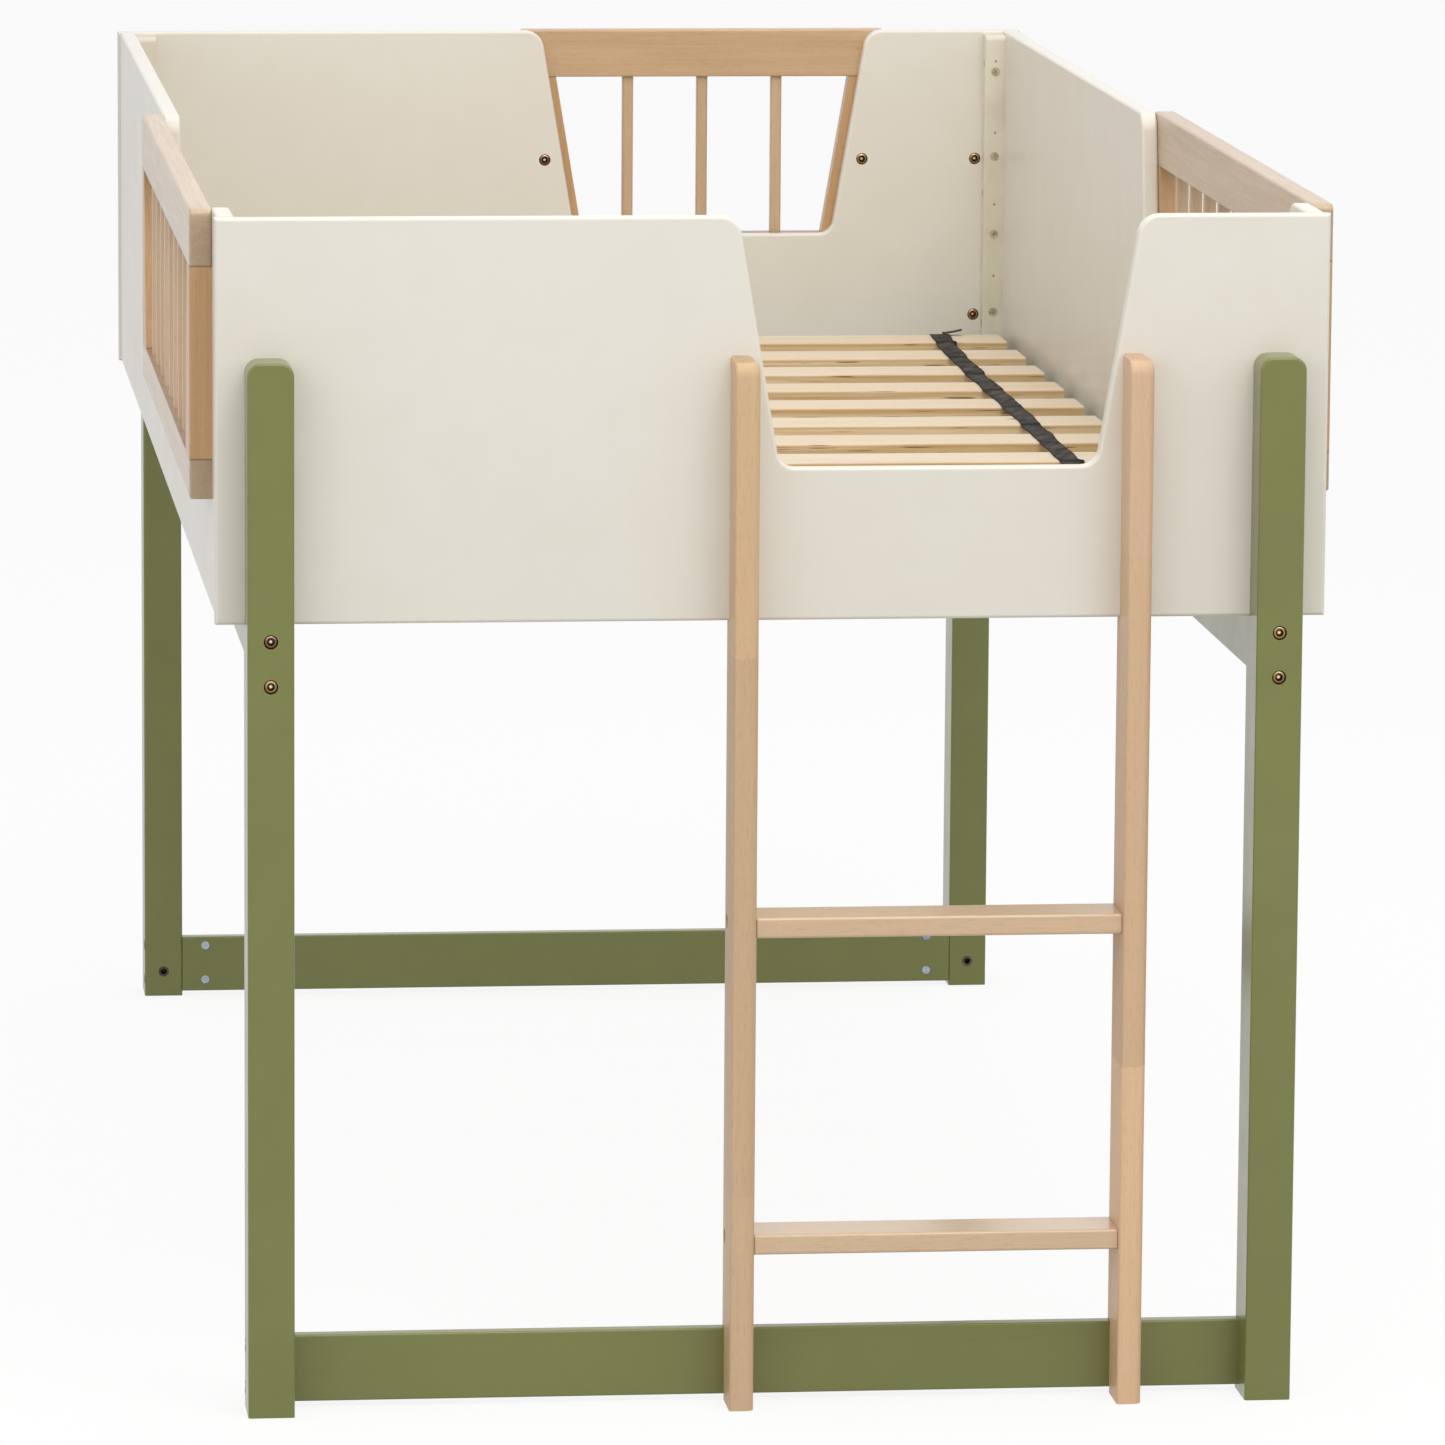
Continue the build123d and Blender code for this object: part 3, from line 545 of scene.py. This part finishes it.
def strap_middle(depth):
    """How far out a strap runs at a depth: it slants outwards near its far end."""
    slant = min(max(depth / 0.6, 0.0), 1.0)
    turn = min(max((depth - 0.66) / 0.22, 0.0), 1.0)
    return STRAP_CENTRE - 0.002 + 0.004 * slant + 0.007 * turn * turn


def waves(place, phase, kinds):
    """Sum of waves at a place along a strap."""
    return sum(size * math.sin(place * rate + phase * times) for size, rate, times in kinds)


def along_route(points, spacing):
    """Evenly spaced points over a route, and its length."""
    runs = [0.0]
    for first, second in zip(points, points[1:]):
        runs.append(runs[-1] + (second - first).length)
    count = round(runs[-1] / spacing)
    placed = []
    index = 0
    for number in range(count + 1):
        run = runs[-1] * number / count
        while index < len(runs) - 2 and runs[index + 1] < run:
            index += 1
        share = (run - runs[index]) / (runs[index + 1] - runs[index])
        placed.append(points[index].lerp(points[index + 1], min(share, 1.0)))
    return placed, runs[-1]


def cloth_piece(name, mesh_maker, finish):
    """A thin webbing piece from a finished bmesh, with its wall and its links to the frame."""
    mesh = bpy.data.meshes.new(name)
    mesh_maker.to_mesh(mesh)
    mesh_maker.free()
    mesh.materials.append(finish.material)
    for polygon in mesh.polygons:
        polygon.use_smooth = True
    piece = bpy.data.objects.new(name, mesh)
    bpy.context.scene.collection.objects.link(piece)
    wall = piece.modifiers.new("wall", "SOLIDIFY")
    wall.thickness = STRAP_THICK
    wall.offset = 0.0
    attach(piece, "root")
    return piece


def flap(name, side, finish, columns, rows, place):
    """A small free part of a strap, bent from a grid. Place gives a point from two shares."""
    maker = bmesh.new()
    lay = maker.loops.layers.uv.new("lay")
    bmesh.ops.create_grid(maker, x_segments=columns, y_segments=rows, size=0.5)
    shares = {vertex: (vertex.co.x + 0.5, vertex.co.y + 0.5) for vertex in maker.verts}
    for vertex, (reach, depth) in shares.items():
        x, y, z = place(reach, depth)
        vertex.co = (side * x, y, z)
    for face in maker.faces:
        for loop in face.loops:
            loop[lay].uv = (shares[loop.vert][1], loop.vert.co.y)
    bmesh.ops.recalc_face_normals(maker, faces=maker.faces)
    return cloth_piece(name, maker, finish)


def strap_end(name, side, finish):
    """The cut end of a strap, pulled through under it and rising past its far corner."""
    end = WELL_MIDDLE_Y + SLAT_PITCH * (SLAT_COUNT - 1) / 2 + SLAT_WIDTH / 2
    edge = strap_middle(end) + STRAP_WIDTH / 2

    def place(reach, depth):
        lift = 0.0012 * reach + 0.0022 * reach * reach - 0.0004 * depth
        return edge - 0.006 + 0.0205 * reach, end - 0.013 + 0.011 * depth, SLAT_TOP + 0.0029 + lift

    return flap(name, side, finish, 10, 3, place)


def strap_tag(name, side, finish, number, width):
    """A small fold of a strap that stands out beside it over the front edge of a slat."""
    front = WELL_MIDDLE_Y + SLAT_PITCH * (number - (SLAT_COUNT + 1) / 2) - SLAT_WIDTH / 2
    edge = strap_middle(front) + STRAP_WIDTH / 2
    bend = [(0.004, 0.0012), (0.0, 0.0011), (-0.0018, -0.0008)]
    bend += [(-0.0020, -0.0026), (-0.0018, -0.0046)]

    def place(reach, depth):
        forward, lift = bend[round(depth * (len(bend) - 1))]
        return edge - 0.002 + width * reach, front + forward, SLAT_TOP + lift - 0.001 * reach

    return flap(name, side, finish, 3, len(bend) - 1, place)


def strap(name, side, node, finish):
    """One strap, bent over its route from a flat grid, wandering a little from slat to slat."""
    route, length = along_route(strap_route(), STRAP_CELL)
    maker = bmesh.new()
    lay = maker.loops.layers.uv.new("lay")
    cells = len(route) - 1
    bmesh.ops.create_grid(maker, x_segments=6, y_segments=cells, size=0.5)
    phase = STRAP_PHASES[side]
    shares = {}
    for vertex in maker.verts:
        across, number = vertex.co.x, round((vertex.co.y + 0.5) * cells)
        point = route[number]
        middle = strap_middle(point.x) + waves(point.x, phase, STRAP_WANDER)
        width = STRAP_WIDTH * (1.0 + waves(point.x, phase, STRAP_NARROWING))
        x = side * middle + across * width
        ripple = STRAP_RIPPLE * (1 + math.sin(point.x * 290 + across * 2.4 + phase))
        vertex.co = (x, point.x, point.y + (ripple if point.y > SLAT_TOP else 0.0))
        shares[vertex] = across + 0.5
    for face in maker.faces:
        for loop in face.loops:
            loop[lay].uv = (shares[loop.vert], loop.vert.co.y)
    bmesh.ops.smooth_vert(maker, verts=maker.verts, factor=0.4, use_axis_z=True, use_axis_y=True)
    bmesh.ops.recalc_face_normals(maker, faces=maker.faces)
    piece = cloth_piece(name, maker, finish)
    parts = [strap_end(name + "_end", side, finish)]
    for number, reach in STRAP_TAGS:
        parts.append(strap_tag(name + "_tag_" + str(number), side, finish, number, reach))
    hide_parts(node)
    slats = ["slat_" + str(number + 1).zfill(2) for number in range(SLAT_COUNT)]


def lamp(name, place, target, size, power, colour):
    """A square softbox at a place, looking at its target."""
    light = bpy.data.lights.new(name, "AREA")
    light.shape = "SQUARE"
    light.size = size
    light.energy = power
    light.color = colour
    holder = bpy.data.objects.new(name, light)
    holder.location = place
    holder.rotation_euler = (Vector(target) - Vector(place)).to_track_quat("-Z", "Y").to_euler()
    bpy.context.scene.collection.objects.link(holder)


def seen_straight(nodes):
    """1 for what the camera, a mirror or clear plastic sees, 0 for the light that it gives."""
    straight = nodes.node("ShaderNodeLightPath", output="Is Camera Ray")
    for kind in ("Is Glossy Ray", "Is Transmission Ray"):
        straight = nodes.maths("MAXIMUM", straight, nodes.node("ShaderNodeLightPath", output=kind))
    return straight


def studio():
    """White floor that keeps a soft shadow, a white surround and soft lamps."""
    paper = Finish("studio_floor", 0.9)
    near_white = paper.node("ShaderNodeLightPath", output="Is Camera Ray")
    paper.paint("Base Color", paper.blend(near_white, tone(188, 188, 187), tone(250, 250, 250)))
    glow = paper.node("ShaderNodeEmission", None, {"Color": WHITE, "Strength": 1.0})
    lit = Field(paper, paper.shader.outputs[0])
    share = seen_straight(paper) * FLOOR_GLOW
    mixed = paper.node("ShaderNodeMixShader", None, {0: share, 1: lit, 2: glow})
    paper.feed(paper.tree.nodes["Material Output"].inputs["Surface"], mixed)
    maker = bmesh.new()
    bmesh.ops.create_grid(maker, x_segments=1, y_segments=1, size=FLOOR_REACH)
    mesh = bpy.data.meshes.new("studio_floor")
    maker.to_mesh(mesh)
    maker.free()
    mesh.materials.append(paper.material)
    floor = bpy.data.objects.new("studio_floor", mesh)
    bpy.context.scene.collection.objects.link(floor)

    world = bpy.data.worlds.new("studio_surround")
    bpy.context.scene.world = world
    world.use_nodes = True
    surround = Nodes(world.node_tree)
    ambient = {"Color": AMBIENT_COLOUR, "Strength": AMBIENT_STRENGTH}
    ambient = surround.node("ShaderNodeBackground", None, ambient)
    white = surround.node("ShaderNodeBackground", None, {"Color": WHITE, "Strength": 1.0})
    sockets = {0: seen_straight(surround), 1: ambient, 2: white}
    mixed = surround.node("ShaderNodeMixShader", None, sockets)
    surround.feed(world.node_tree.nodes["World Output"].inputs["Surface"], mixed)
    for name, setting in SOFTBOXES.items():
        lamp(name, *setting)


def camera():
    """The photograph's view: a long lens from above and left of the ladder end."""
    lens = bpy.data.cameras.new("camera")
    lens.sensor_width = SENSOR_MM
    lens.lens = LENS_MM
    lens.clip_end = CAMERA_FAR
    yaw, pitch, roll = (math.radians(angle) for angle in (CAMERA_YAW, CAMERA_PITCH, CAMERA_ROLL))
    level = math.cos(pitch)
    ahead = Vector((math.sin(yaw) * level, math.cos(yaw) * level, -math.sin(pitch)))
    turned = ahead.to_track_quat("-Z", "Y").to_matrix() @ Euler((0, 0, roll)).to_matrix()
    holder = bpy.data.objects.new("camera", lens)
    holder.location = CAMERA_PLACE
    holder.rotation_euler = turned.to_euler()
    bpy.context.scene.collection.objects.link(holder)
    bpy.context.scene.camera = holder


camera()
belt = webbing()
dress(belt)
strap("strap_right", 1, "right_strap", belt)
strap("strap_left", -1, "left_strap", belt)
studio()
bpy.context.scene.view_settings.view_transform = "Standard"
